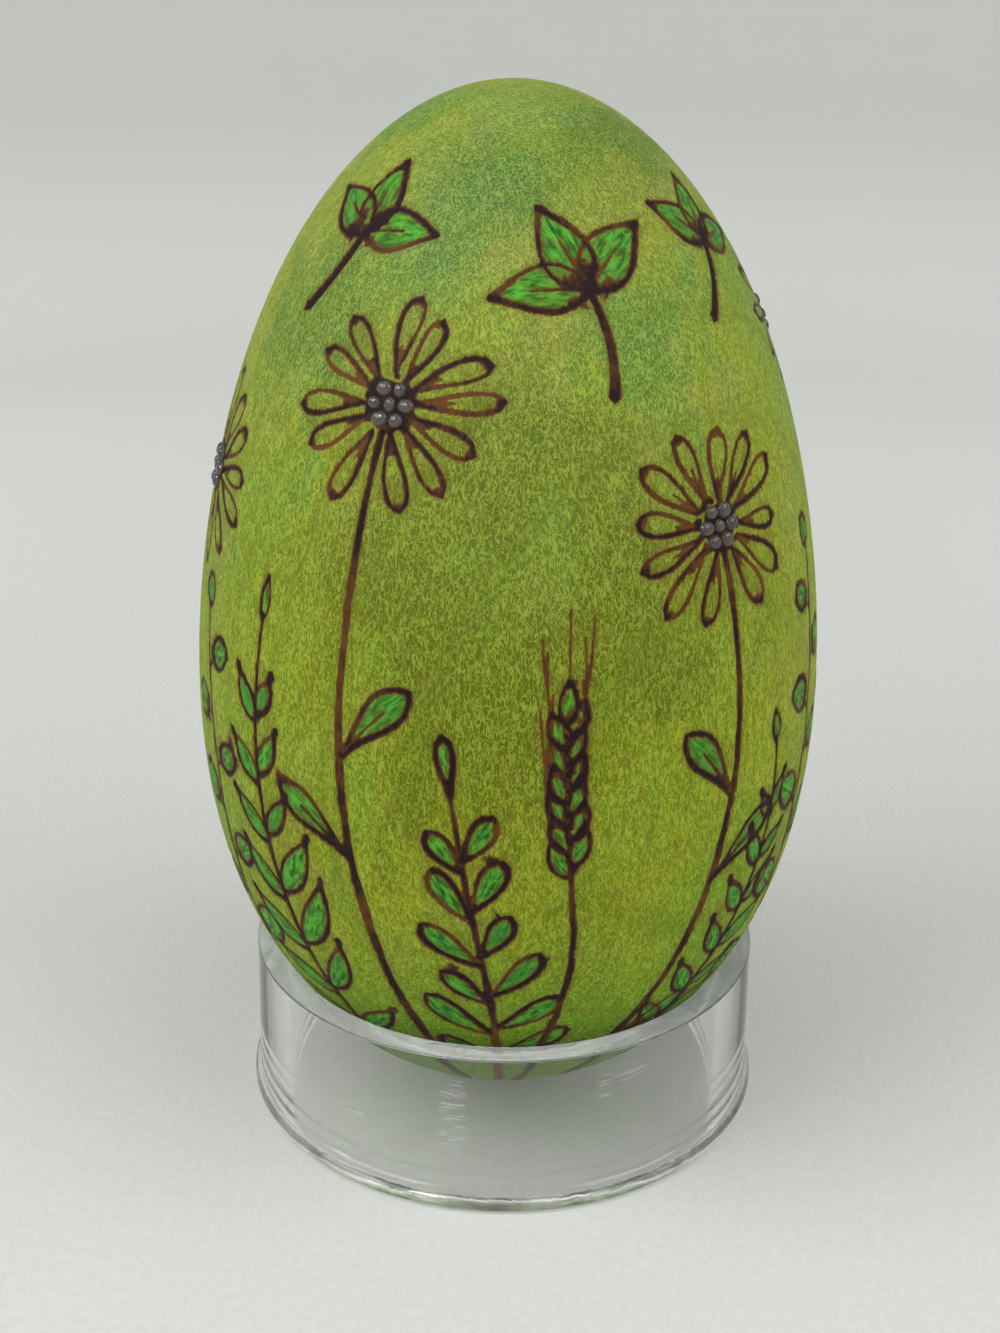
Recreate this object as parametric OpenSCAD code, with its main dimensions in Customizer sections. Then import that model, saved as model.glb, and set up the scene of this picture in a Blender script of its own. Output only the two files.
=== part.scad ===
// Turned wooden egg with raised gloss beads, standing in a clear ring stand.
// The origin is on the table under the middle of the ring, +Z is up and -Y is the front.

/* [Egg] */
// Length of the egg from tip to tip
egg_length = 98.3; // [84:0.1:115]
// Widest diameter of the egg
egg_width = 60; // [54:0.5:72]
// How much fuller the lower half is than the upper half
egg_taper_share = 0.137; // [0.06:0.001:0.16]
// How full both ends are
egg_end_share = 0.081; // [0:0.001:0.12]
// How far the widest place is pushed down towards the blunt end
egg_cheek_share = -0.05; // [-0.08:0.001:0.03]
// How full the very tips are, below 0 where they are drawn in
egg_tip_share = -0.068; // [-0.08:0.001:0.02]

/* [Ring stand] */
// Outer diameter of the ring at its rim
rim_d = 51; // [44:0.5:54]
// Thickness of the ring's wall at the rim
ring_wall = 2.7; // [1.6:0.1:4]
// Height of the egg's lower tip above the table, which sets the ring's height
tip_gap = 2.5; // [2:0.1:8]
// How much the wall's radius grows from the rim down to the foot
wall_draft = 0.25; // [0:0.05:0.6]
// How far the rounded foot stands out from the wall
foot_ledge = 0.6; // [0.1:0.05:1]
// Height of the rounded foot
foot_h = 1.6; // [0.8:0.1:3]
// Rounding of the inner lip that the egg rests on
lip_round = 0.5; // [0.1:0.05:0.7]
// Rounding of the rim's outer edge
rim_round = 0.15; // [0.05:0.05:0.5]
// Air left between the egg and the inner lip
seat_gap = 0.05; // [0.02:0.01:0.3]

/* [Beads] */
// Diameter of a gloss bead
bead_d = 1.25; // [0.8:0.05:1.6]
// Height of a gloss bead
bead_h = 0.5; // [0.3:0.05:0.6]
// Gap between neighbouring beads
bead_gap = 0.2; // [0.1:0.05:0.6]
// Beads round the middle one of each flower
ring_beads = 6; // [3:1:6]
// Air left under a bead
bead_lift = 0.01; // [0.005:0.005:0.05]

/* [Hidden] */

// Each flower's azimuth in degrees, 0 at the front and 90 at the right, and its height as a share of the egg's
flower_azimuths = [-24, 40, 98, 158, 214, 283];
flower_height_shares = [0.76, 0.655, 0.79, 0.67, 0.78, 0.66];

egg_steps = 96;
arc_steps = 8;
quarter_turn = 90;
half_turn = 180;
full_turn = 360;

rim_r = rim_d / 2;
bore_r = rim_r - ring_wall;
foot_r = rim_r + wall_draft + foot_ledge;
foot_round = foot_h / 2;
bead_pitch = bead_d + bead_gap;

// The egg's outline: t runs from 0 at the blunt tip to 180 at the pointed tip
function fullness(t) = 1 + egg_taper_share * cos(t) + egg_end_share * cos(t) ^ 2
    + egg_cheek_share * cos(t) ^ 3 + egg_tip_share * cos(t) ^ 4;
widest_share = max([for (t = [0:half_turn]) sin(t) * fullness(t)]);
function egg_r(t) = egg_width / 2 * sin(t) * fullness(t) / widest_share;
function egg_z(t) = egg_length / 2 * (1 - cos(t));

// The outward direction of the egg's surface, as an angle from +Z
outline_step = 0.5;
function egg_tilt(t) = atan2(
    egg_z(t + outline_step) - egg_z(t - outline_step),
    egg_r(t - outline_step) - egg_r(t + outline_step));
// Millimetres along the outline for each degree of t
function egg_stride(t) = norm([
    egg_r(t + outline_step) - egg_r(t - outline_step),
    egg_z(t + outline_step) - egg_z(t - outline_step)]) / (2 * outline_step);

// An arc's points, from angle a to angle b
function arc(centre, r, a, b) = [
    for (i = [0:arc_steps])
        centre + r * [cos(a + (b - a) * i / arc_steps), sin(a + (b - a) * i / arc_steps)]
];

// The inner lip's points, measured out from the axis and up from the rim's top
lip_points = arc([bore_r + lip_round, -lip_round], lip_round, quarter_turn, half_turn);
// The ring is as high as lets the egg rest on every one of them
lower_outline = [for (t = [0:half_turn / egg_steps:quarter_turn]) [egg_r(t), egg_z(t)]];
seat_tilt = egg_tilt(lookup(bore_r, [for (t = [0:quarter_turn]) [egg_r(t), t]]));
seat_rise = min([for (p = lip_points) lookup(p.x, lower_outline) - p.y]);
ring_h = tip_gap + seat_rise - seat_gap / abs(cos(seat_tilt));

module egg() {
    color("yellowgreen")
        translate([0, 0, tip_gap])
            rotate_extrude()
                polygon([
                    for (i = [0:egg_steps])
                        let (t = half_turn * i / egg_steps)
                            [i == 0 || i == egg_steps ? 0 : egg_r(t), egg_z(t)]
                ]);
}

module ring_stand() {
    foot_centre = [foot_r - foot_round, foot_round];
    rim_centre = [rim_r - rim_round, ring_h - rim_round];
    wall_foot_r = rim_r + wall_draft;
    // The foot's rounding ends where it meets the wall
    foot_end = acos(min(1, max(-1, (wall_foot_r - foot_centre.x) / foot_round)));
    color("gainsboro", 0.35)
        rotate_extrude()
            polygon(concat(
                [[bore_r, 0]],
                arc(foot_centre, foot_round, -quarter_turn, foot_end),
                arc(rim_centre, rim_round, 0, quarter_turn),
                [for (p = lip_points) p + [0, ring_h]]));
}

// One bead: the cap of a ball, flat side down
module bead() {
    ball_r = (bead_d ^ 2 / 4 + bead_h ^ 2) / (2 * bead_h);
    intersection() {
        translate([0, 0, bead_h - ball_r])
            sphere(ball_r, $fn = 32);
        cylinder(h = bead_h, r = bead_d, $fn = 32);
    }
}

// Puts its children on the egg at outline angle t and an azimuth, with +Z pointing out of the surface
module on_egg(t, azimuth) {
    translate([0, 0, tip_gap])
        rotate([0, 0, azimuth - quarter_turn])
            translate([egg_r(t), 0, egg_z(t)])
                rotate([0, egg_tilt(t), 0])
                    translate([0, 0, bead_lift])
                        children();
}

// A middle bead with the others in a ring round it
module flower_beads(index) {
    t = acos(1 - 2 * flower_height_shares[index]);
    azimuth = flower_azimuths[index];
    color("white") {
        on_egg(t, azimuth)
            bead();
        for (i = [0:ring_beads - 1]) {
            angle = full_turn * i / ring_beads;
            up = bead_pitch * sin(angle);
            across = bead_pitch * cos(angle);
            on_egg(t + up / egg_stride(t), azimuth + asin(across / egg_r(t)))
                bead();
        }
    }
}

egg();
ring_stand();
flower_beads(0);  // flower_1_beads
flower_beads(1);  // flower_2_beads
flower_beads(2);  // flower_3_beads
flower_beads(3);  // flower_4_beads
flower_beads(4);  // flower_5_beads
flower_beads(5);  // flower_6_beads
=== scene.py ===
"""Looks of a turned wooden egg with burnt plant drawings and gloss dots, standing in a clear ring.

Lengths are in millimetres until a mesh or an object is made, where MM turns them into metres.
An azimuth is 0 at the front (-Y) and positive to the right (+X). A height share runs from 0 at the
egg's lower tip to 1 at its upper tip. A heading is 0 straight up and positive to the right.
"""

import math

import bmesh
import bpy
import numpy as np
from mathutils import Matrix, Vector
from mathutils.geometry import delaunay_2d_cdt
from mathutils.kdtree import KDTree


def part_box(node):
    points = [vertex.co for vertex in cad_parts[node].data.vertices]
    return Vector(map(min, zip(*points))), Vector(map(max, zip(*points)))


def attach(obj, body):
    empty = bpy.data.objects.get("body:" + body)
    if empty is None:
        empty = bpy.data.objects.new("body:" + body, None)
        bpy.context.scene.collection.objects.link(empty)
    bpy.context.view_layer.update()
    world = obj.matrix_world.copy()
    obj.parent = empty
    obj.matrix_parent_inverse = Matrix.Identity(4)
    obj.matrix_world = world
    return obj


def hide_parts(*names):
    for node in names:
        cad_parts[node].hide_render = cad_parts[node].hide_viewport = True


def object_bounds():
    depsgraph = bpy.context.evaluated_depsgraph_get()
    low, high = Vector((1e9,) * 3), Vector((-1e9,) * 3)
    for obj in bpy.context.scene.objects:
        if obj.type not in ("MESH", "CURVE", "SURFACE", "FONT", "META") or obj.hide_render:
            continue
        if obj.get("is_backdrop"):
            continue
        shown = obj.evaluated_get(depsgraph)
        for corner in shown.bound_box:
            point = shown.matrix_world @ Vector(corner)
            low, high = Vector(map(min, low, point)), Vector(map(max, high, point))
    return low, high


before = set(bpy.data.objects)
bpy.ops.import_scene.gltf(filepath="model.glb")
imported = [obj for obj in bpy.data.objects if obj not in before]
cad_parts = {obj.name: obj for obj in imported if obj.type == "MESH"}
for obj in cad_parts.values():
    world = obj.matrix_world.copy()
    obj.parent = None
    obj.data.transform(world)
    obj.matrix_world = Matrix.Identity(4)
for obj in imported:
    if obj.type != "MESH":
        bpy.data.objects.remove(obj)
cad_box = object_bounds()

MM = 0.001
TURN = 2 * math.pi
HALF_TURN = math.pi
QUARTER_TURN = math.pi / 2
TINY = 1e-9
rad = math.radians


def smooth_noise(rng, count, span):
    """Random values, each the mean of span draws beside each other."""
    return np.convolve(rng.normal(size=count + span - 1), np.ones(span) / span, "valid")


def square_to(ahead):
    """The level direction to the right of ahead, and the upward one square to both."""
    right = np.cross(ahead, (0, 0, 1))
    right /= np.linalg.norm(right)
    return right, np.cross(right, ahead)


def smoothstep(x, low, high):
    """0 below low, 1 above high, and an eased change between."""
    s = np.clip((x - low) / (high - low), 0, 1)
    return s * s * (3 - 2 * s)


# The egg's outline, by the same formula and shares as the solid
EGG_LOW, EGG_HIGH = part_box("egg")
EGG_BASE = EGG_LOW.z / MM
EGG_LENGTH = (EGG_HIGH.z - EGG_LOW.z) / MM
EGG_WIDTH = (EGG_HIGH.x - EGG_LOW.x) / MM
EGG_TAPER_SHARE = 0.137
EGG_END_SHARE = 0.081
EGG_CHEEK_SHARE = -0.05
EGG_TIP_SHARE = -0.068

TABLE_ROWS = 4001
T_TABLE = np.linspace(0, HALF_TURN, TABLE_ROWS)
_cos = np.cos(T_TABLE)
_full = (1 + EGG_TAPER_SHARE * _cos + EGG_END_SHARE * _cos**2
         + EGG_CHEEK_SHARE * _cos**3 + EGG_TIP_SHARE * _cos**4)
R_TABLE = np.sin(T_TABLE) * _full
R_TABLE *= EGG_WIDTH / 2 / R_TABLE.max()
Z_TABLE = EGG_BASE + EGG_LENGTH / 2 * (1 - _cos)
DR_TABLE = np.gradient(R_TABLE, T_TABLE)
DZ_TABLE = np.gradient(Z_TABLE, T_TABLE)
STRIDE_TABLE = np.hypot(DR_TABLE, DZ_TABLE)
SMALLEST_R = 0.3


def on_table(t, table):
    return np.interp(t, T_TABLE, table)


def height_t(share):
    """The outline angle at a height share."""
    return math.acos(1 - 2 * share)


def spot(share, az):
    """A place on the egg from its height share and its azimuth in degrees."""
    return height_t(share), rad(az)


def surface(t, az):
    """Points on the egg, one row each."""
    r = on_table(t, R_TABLE)
    return np.stack([r * np.sin(az), -r * np.cos(az), on_table(t, Z_TABLE)], -1)


def on_egg(rows):
    """Points on the egg for rows that begin with t and azimuth."""
    return surface(rows[:, 0], rows[:, 1])


def outward(t, az):
    """The egg's outward directions, one row each."""
    across = on_table(t, DZ_TABLE)
    up = -on_table(t, DR_TABLE)
    size = np.hypot(across, up)
    across, up = across / size, up / size
    return np.stack([across * np.sin(az), -across * np.cos(az), up], -1)


# Walking over the egg
STEP = 0.45
T_, AZ_, HEAD_, DIST_ = range(4)


def walk(start, turn, length, curve=0.0):
    """The places along a line over the egg: rows of t, azimuth, heading and distance walked.

    turn counts from the heading of start, or from straight up where start has none. curve is the
    further turn to the right in degrees for each mm.
    """
    t, az = start[T_], start[AZ_]
    heading = turn + (start[HEAD_] if len(start) > HEAD_ else 0)
    count = max(2, math.ceil(length / STEP))
    ds = length / count
    rows = [(t, az, heading, 0.0)]
    for i in range(count):
        r = max(on_table(t, R_TABLE), SMALLEST_R)
        stride = on_table(t, STRIDE_TABLE)
        slope = on_table(t, DR_TABLE) / stride
        heading += rad(curve) * ds - math.sin(heading) * slope / r * ds
        t += math.cos(heading) * ds / stride
        az += math.sin(heading) * ds / r
        rows.append((t, az, heading, (i + 1) * ds))
    return np.array(rows)


# How a stem wanders between its two ends
STEM_MARKS = 40
WANDER_SPAN = 9
WANDER_GAIN = 3


def path(base, tip, sway, rng, wander=0.006):
    """A stem's places from one (height share, azimuth) to another, bowed sideways by sway degrees."""
    start, end = spot(*base), spot(*tip)
    s = np.linspace(0, 1, STEM_MARKS)
    bow = np.sin(HALF_TURN * s)
    noise = smooth_noise(rng, STEM_MARKS, WANDER_SPAN) * wander * WANDER_GAIN
    noise *= bow
    t = start[0] + (end[0] - start[0]) * s
    az = start[1] + (end[1] - start[1]) * smoothstep(s, 0, 1) + rad(sway) * bow + noise
    along = np.r_[0, np.cumsum(np.linalg.norm(np.diff(surface(t, az), axis=0), axis=1))]
    dist = np.linspace(0, along[-1], max(3, math.ceil(along[-1] / STEP)))
    t, az = np.interp(dist, along, t), np.interp(dist, along, az)
    head = np.arctan2(on_table(t, R_TABLE) * np.gradient(az), on_table(t, STRIDE_TABLE) * np.gradient(t))
    return np.stack([t, az, np.unwrap(head), dist], -1)


def moved(rows, turn, far):
    """The same places moved far mm, towards turn to the right of their headings."""
    head = rows[:, HEAD_] + turn
    after = rows.copy()
    after[:, T_] += np.cos(head) * far / on_table(rows[:, T_], STRIDE_TABLE)
    after[:, AZ_] += np.sin(head) * far / np.maximum(on_table(rows[:, T_], R_TABLE), SMALLEST_R)
    return after


def beside(rows, side):
    """The same line moved sideways, to the right where side is positive."""
    return moved(rows, QUARTER_TURN, side)


def at(rows, share):
    """The place at a share of a line's length."""
    want = share * rows[-1, DIST_]
    return np.array([np.interp(want, rows[:, DIST_], column) for column in rows.T])


# The drawing: burnt lines and pencil fills
burns = []
fills = []
FINE_R = 0.24
STEM_R = 0.5
BLOB_R = 0.6

# How a burnt line varies in width and darkness, and how its ends swell where the pen rested
WIDTH_SPAN, WIDTH_VARIES = 5, 0.16
SHADE_SPAN, SHADE_VARIES = 11, 0.56
BLOB_REACH, BLOB_WIDER, BLOB_DARKER = 0.8, 0.45, 0.5
RADIUS_RANGE = (0.1, 2.4)


def burn(rows, rng, radius, end_radius=None, dark=0.7, blobs=(0.0, 0.0), deep=1.0):
    """A burnt line. blobs are how much wider and darker its two ends are, from 0 to 1."""
    n = len(rows)
    s = np.linspace(0, 1, n)
    thick = radius if end_radius is None else radius + (end_radius - radius) * s
    thick = thick * (1 + WIDTH_VARIES * smooth_noise(rng, n, WIDTH_SPAN))
    shade = dark + SHADE_VARIES * smooth_noise(rng, n, SHADE_SPAN)
    length = rows[-1, DIST_] - rows[0, DIST_]
    near_start = np.exp(-s * length / BLOB_REACH)
    near_end = np.exp(-(1 - s) * length / BLOB_REACH)
    swell = blobs[0] * near_start + blobs[1] * near_end
    burns.append({
        "rows": rows,
        "points": on_egg(rows),
        "radius": np.clip(thick * (1 + BLOB_WIDER * swell), *RADIUS_RANGE),
        "dark": np.clip(shade + BLOB_DARKER * swell, 0.0, 1.0),
        "deep": deep,
    })


TOUCH_LENGTH = 0.25


def touch(start, rng, radius, dark):
    """A single touch of the hot pen that leaves no groove."""
    burn(walk(start[:HEAD_], rng.uniform(0, TURN), TOUCH_LENGTH), rng, radius, dark=dark, deep=0.0)


SIDE_STEP = 0.01
STREAK_SHIFT = 500


def pencil(rows, half_width, rng, tone):
    """A pencil fill along a leaf's middle line, as wide as half_width says."""
    here = on_egg(rows)
    fills.append({
        "rows": rows,
        "points": here,
        "radius": half_width,
        "side": (on_egg(beside(rows, SIDE_STEP)) - here) / SIDE_STEP,
        "along": rows[:, DIST_] + rng.uniform(0, STREAK_SHIFT),
        "tone": tone,
    })


# Each shape is a leaf's half width along its length, as a share of the widest
LEAF_SHAPES = {
    "lance": lambda s: np.sin(HALF_TURN * s**0.85) ** 0.9,
    "round": lambda s: np.sqrt(np.maximum(0, 1 - (2 * s - 1) ** 2)),
    "spoon": lambda s: np.sin(HALF_TURN * s**1.6) ** 0.8 * (0.35 + 0.65 * s),
    "petal": lambda s: np.sin(HALF_TURN * s**1.35) ** 0.55 * (0.45 + 0.55 * s),
    "broad": lambda s: np.sin(HALF_TURN * s**0.72) ** 1.05,
    "grain": lambda s: np.sin(HALF_TURN * s**0.8) ** 0.75,
    "blade": lambda s: (1 - s) ** 0.55 * np.minimum(1, 0.55 + 2.5 * s),
}
FILL_SHARE, FILL_EXTRA = 0.95, 0.02
SHORT_LEAF = 4

# A leaf's two outlines: how much wider and how much darker the pen's strong and weak stroke are
STRONG_SIDE, WEAK_SIDE = (1.18, 0.18), (0.92, -0.1)
SIDE_VARIES = 0.08
ROOT_BLOB, TIP_BLOB = 0.3, 0.35
TAIL_SHARES, TAIL_DARK = (1.7, 2.0), 0.95
VEIN_SHARES, VEIN_PALER = (0.8, 0.5), 0.15


def leaf(start, turn, length, half_width, rng, shape, curve=0.0, radius=FINE_R, dark=0.7,
         tail=0.0, filled=True, vein=0.0, tone=None):
    """A leaf with its two outlines, and its pencil fill, vein and dark tip where asked for."""
    middle = walk(start, turn, length, curve)
    s = middle[:, DIST_] / length
    wide = half_width * LEAF_SHAPES[shape](np.clip(s, 0, 1))
    tone = rng.uniform(0, 1) if tone is None else tone
    if filled:
        trim = slice(1, len(middle) - 1) if len(middle) > SHORT_LEAF else slice(None)
        pencil(middle[trim], wide[trim] * FILL_SHARE + FILL_EXTRA, rng, tone)
    heavy = rng.integers(2)
    for k, side in enumerate((-1, 1)):
        lean = rng.normal(1, SIDE_VARIES)
        wider, darker = STRONG_SIDE if k == heavy else WEAK_SIDE
        burn(beside(middle, side * wide * lean), rng, radius * wider, dark=dark + darker,
             blobs=(ROOT_BLOB, 0.0 if tail else TIP_BLOB))
    if tail:
        tip = walk(middle[-2], 0, tail + STEP, curve)
        burn(tip, rng, radius * TAIL_SHARES[0], radius * TAIL_SHARES[1], dark=TAIL_DARK)
    if vein:
        line = middle[: max(3, int(len(middle) * vein))]
        burn(line, rng, radius * VEIN_SHARES[0], radius * VEIN_SHARES[1], dark=dark - VEIN_PALER)
    return middle


# The height share and azimuth of each cluster of dots, as in the solids
FLOWERS = ((0.76, -24), (0.655, 40), (0.79, 98), (0.67, 158), (0.78, 214), (0.66, 283))

# The motifs' sizes
DISC_R, DISC_EDGE_R, DISC_TOUCHES, TOUCH_R = 1.95, 2.15, 17, 0.28
STALK_START = 2.2
STALK_GAP = rad(17)
PETAL_ROOT, PETAL_LENGTH, PETAL_HALF_WIDTH = 2.45, 6.3, 1.15
STALK_LEAF_TURN = rad(38)
FROND_BARE, FROND_FULL = 0.2, 0.94
GRAIN_PITCH, GRAIN_LENGTH, AWN_LENGTH = 2.4, 4.1, 6.5
AWN_R, AWN_END_R = FINE_R * 0.66, FINE_R * 0.45
COIN_STALK = 1.3
TREFOIL_TURN = 62


def daisy(rng, index, petals, base, sway, leaves):
    """A flower round its cluster of dots, with its stem in a gap between two petals, and leaves on it.

    Each leaf has its share of the way down the stem, its side, its length and its half width.
    """
    centre = spot(*FLOWERS[index])
    stem = path(FLOWERS[index], base, sway, rng)
    stem = stem[stem[:, DIST_] > STALK_START]
    stem[:, DIST_] -= stem[0, DIST_]
    for i in range(petals):
        turn = (TURN - STALK_GAP) * rng.normal(i + 0.5, 0.12) / petals
        angle = stem[0, HEAD_] + STALK_GAP / 2 + turn
        root = walk(centre, angle, rng.normal(PETAL_ROOT, 0.12))[-1]
        leaf(root, 0, rng.normal(PETAL_LENGTH, 0.5), rng.normal(PETAL_HALF_WIDTH, 0.1), rng,
             "petal", curve=rng.normal(0, 1.6), dark=0.6, filled=False, vein=rng.normal(0.42, 0.08))
    touch(centre, rng, DISC_R, 0.75)
    for i in range(DISC_TOUCHES):
        angle = TURN * rng.normal(i, 0.3) / DISC_TOUCHES
        touch(walk(centre, angle, rng.normal(DISC_EDGE_R, 0.1))[-1], rng, TOUCH_R, 0.85)
    burn(stem, rng, STEM_R * 0.7, STEM_R * 1.15, dark=0.68, blobs=(0.3, 0.2))
    for share, side, length, half_width in leaves:
        leaf(at(stem, 0.1 + 0.9 * share), HALF_TURN - side * STALK_LEAF_TURN, length, half_width, rng,
             "spoon", curve=side * -1.6, radius=FINE_R * 1.25, dark=0.74, vein=0.72)


def fern(rng, base, tip, sway, pairs, leaf_length):
    """A frond: a tapering spine with leaflets that shorten towards its tip."""
    spine = path(base, tip, sway, rng)
    burn(spine, rng, STEM_R * 0.95, FINE_R * 0.9, dark=0.78, blobs=(0.3, 0))
    for i in range(pairs):
        up = i / pairs
        s = FROND_BARE + (FROND_FULL - FROND_BARE) * i / pairs
        grow = (1 - 0.66 * up**1.2) * (0.76 + 0.24 * min(1, i / 2))
        for side in (-1, 1):
            place = at(spine, s + side * 0.008)
            out = side * rad(rng.normal(62 - 24 * i / pairs, 4))
            size = leaf_length * grow * rng.normal(1, 0.07)
            leaf(place, out, size, 0.45 + size * 0.115, rng, "lance", curve=-side * rng.normal(2.6, 1),
                 radius=FINE_R * 1.05, tail=0.35 + size * 0.04)
    leaf(spine[-1], 0, leaf_length * 0.42, 0.6, rng, "lance", radius=FINE_R * 0.9)


def wheat(rng, base, tip, sway, grains):
    """A bare stalk with an ear of paired grains and their awns."""
    stalk = path(base, tip, sway, rng)
    burn(stalk, rng, STEM_R * 0.95, STEM_R * 0.6, dark=0.62, blobs=(0.3, 0.2))
    ear = walk(stalk[-1], 0, grains * GRAIN_PITCH, 0.5)
    burn(ear, rng, FINE_R * 1.1, FINE_R * 0.8, dark=0.6)
    for i in range(grains):
        for side in (-1, 1):
            place = at(ear, (i + (0.45 if side > 0 else 0)) / grains)
            grain = leaf(place, side * rad(rng.normal(32, 2)), GRAIN_LENGTH - 0.12 * i, 0.85, rng,
                         "grain", curve=-side * 5, tone=0.15)
            awn = walk(grain[-1], -side * rad(6), rng.normal(AWN_LENGTH, 0.8), -side * 1.2)
            burn(awn, rng, AWN_R, AWN_END_R, dark=0.45)
    grain = leaf(ear[-1], 0, 3.6, 0.75, rng, "grain", tone=0.15)
    burn(walk(grain[-1], 0, 6), rng, AWN_R, AWN_END_R, dark=0.45)


def sprig(rng, base, tip, sway, count, leaf_length):
    """A thin twig with small blunt leaves in pairs, of which the topmost is burnt dark."""
    twig = path(base, tip, sway, rng)
    burn(twig, rng, STEM_R, FINE_R * 1.1, dark=0.6, blobs=(0.2, 0))
    for i in range(count):
        s = 0.3 + 0.66 * i / count
        for side in (-1, 1):
            place = at(twig, s + side * 0.012)
            out = side * rad(rng.normal(64 - 28 * i / count, 6))
            size = leaf_length * (1 - 0.3 * i / count) * rng.normal(1, 0.1)
            leaf(place, out, size, 0.75 + size * 0.1, rng, "petal", curve=-side * 2.2,
                 radius=FINE_R * 1.2, dark=0.66)
    leaf(twig[-1], 0, leaf_length * 0.7, 0.95, rng, "petal", radius=FINE_R * 1.3, dark=0.95)


def coin_vine(rng, base, tip, sway, count, leaf_length):
    """A bowed stem with round leaves on short stalks, left and right in turn."""
    stem = path(base, tip, sway, rng, wander=0.012)
    burn(stem, rng, STEM_R * 0.95, FINE_R, dark=0.68, blobs=(0.3, 0))
    for i in range(count):
        side = 1 if i % 2 else -1
        place = at(stem, 0.2 + 0.78 * i / count)
        out = side * rad(rng.normal(54, 5))
        size = leaf_length * (1 - 0.42 * i / count) * rng.normal(1, 0.06)
        stalk = walk(place, out, COIN_STALK, side * 3)
        burn(stalk, rng, FINE_R, blobs=(0.4, 0))
        leaf(stalk[-1], 0, size, size * 0.42, rng, "round", radius=FINE_R * 1.15,
             dark=0.74, vein=0.5)
    leaf(stem[-1], 0, leaf_length * 0.55, leaf_length * 0.22, rng, "round", dark=0.74)


def grass(rng, base, blades):
    """A tuft of long narrow blades. Each has its lean in degrees, its length and its bend."""
    for lean, length, bend in blades:
        start = spot(base[0], base[1] + lean * 0.12)
        leaf(start, rad(lean), length, 0.95, rng, "blade", curve=bend, radius=FINE_R * 1.05, dark=0.66)


def trefoil(rng, place, heading, size):
    """Three broad leaves on a short stalk."""
    start = spot(*place)
    for turn in (-TREFOIL_TURN, 0, TREFOIL_TURN):
        leaf(start, rad(rng.normal(heading + turn, 3)), size, size * 0.25, rng, "broad",
             radius=FINE_R * 1.15, dark=0.72, vein=0.6, curve=turn * 0.02)
    stalk = walk(start, rad(heading + 180), size * 1.1, 3.5)
    burn(stalk, rng, STEM_R * 0.85, BLOB_R * 0.85, dark=0.85, blobs=(0.4, 0.5))


# Each row is a motif and its values in the order of its function, with places as (height share, azimuth)
DRAWING = (
    (daisy, 0, 12, (0.035, -9), -9, ((0.3, -1, 9.5, 1.8), (0.44, 1, 9.5, 1.8))),
    (daisy, 1, 12, (0.03, 16), 9, ((0.26, 1, 9, 1.7), (0.4, -1, 9.5, 1.8), (0.74, -1, 8.5, 1.6))),
    (daisy, 2, 13, (0.03, 89), -4, ((0.42, 1, 9.5, 1.8), (0.62, -1, 9.5, 1.8))),
    (daisy, 3, 12, (0.03, 140), 8, ((0.4, -1, 9.5, 1.8), (0.6, 1, 9, 1.7))),
    (daisy, 4, 13, (0.03, 222), 6, ((0.38, -1, 9.5, 1.8), (0.6, 1, 9.5, 1.8))),
    (daisy, 5, 12, (0.03, 264), -9, ((0.5, -1, 9, 1.7),)),
    (fern, (0.05, -32), (0.56, -47), -4, 7, 9.4),
    (fern, (0.08, 36), (0.44, 54), 3, 6, 7.6),
    (sprig, (0.03, -3), (0.44, -9), 4, 6, 7.4),
    (fern, (0.05, 106), (0.52, 116), -6, 8, 8.4),
    (fern, (0.06, 176), (0.5, 188), 6, 7, 8.4),
    (fern, (0.05, 246), (0.53, 236), -6, 8, 8.4),
    (wheat, (0.05, 4), (0.36, 11), 3, 6),
    (wheat, (0.06, 124), (0.36, 132), 4, 6),
    (wheat, (0.06, 206), (0.4, 200), -4, 6),
    (wheat, (0.06, 255), (0.37, 258), 4, 5),
    (coin_vine, (0.08, -62), (0.54, -68), 4, 8, 5.4),
    (coin_vine, (0.08, 65), (0.6, 71), -2, 9, 5.4),
    (coin_vine, (0.06, 158), (0.48, 164), 5, 8, 5.2),
    (coin_vine, (0.06, 232), (0.42, 216), -5, 7, 5.4),
    (grass, (0.07, 146), ((-22, 14, -2.4), (2, 18, 0.8), (20, 14, 2.6))),
    (grass, (0.07, 268), ((-20, 14, -2.2), (0, 18, -0.8), (18, 15, 2.4))),
    (trefoil, (0.85, 18), -24, 8.2),
    (trefoil, (0.875, 62), 18, 6.8),
    (trefoil, (0.87, 137), -14, 7.4),
    (trefoil, (0.87, 184), 16, 7.0),
    (trefoil, (0.85, 248), -14, 7.8),
    (trefoil, (0.885, 316), 12, 7.2),
)
DRAWING_SEED = 7
for number, (motif, *details) in enumerate(DRAWING):
    motif(np.random.default_rng([DRAWING_SEED, number]), *details)

# How far from each line the distances are kept
BAND = 1.0
FILL_BAND = 0.5


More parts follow.
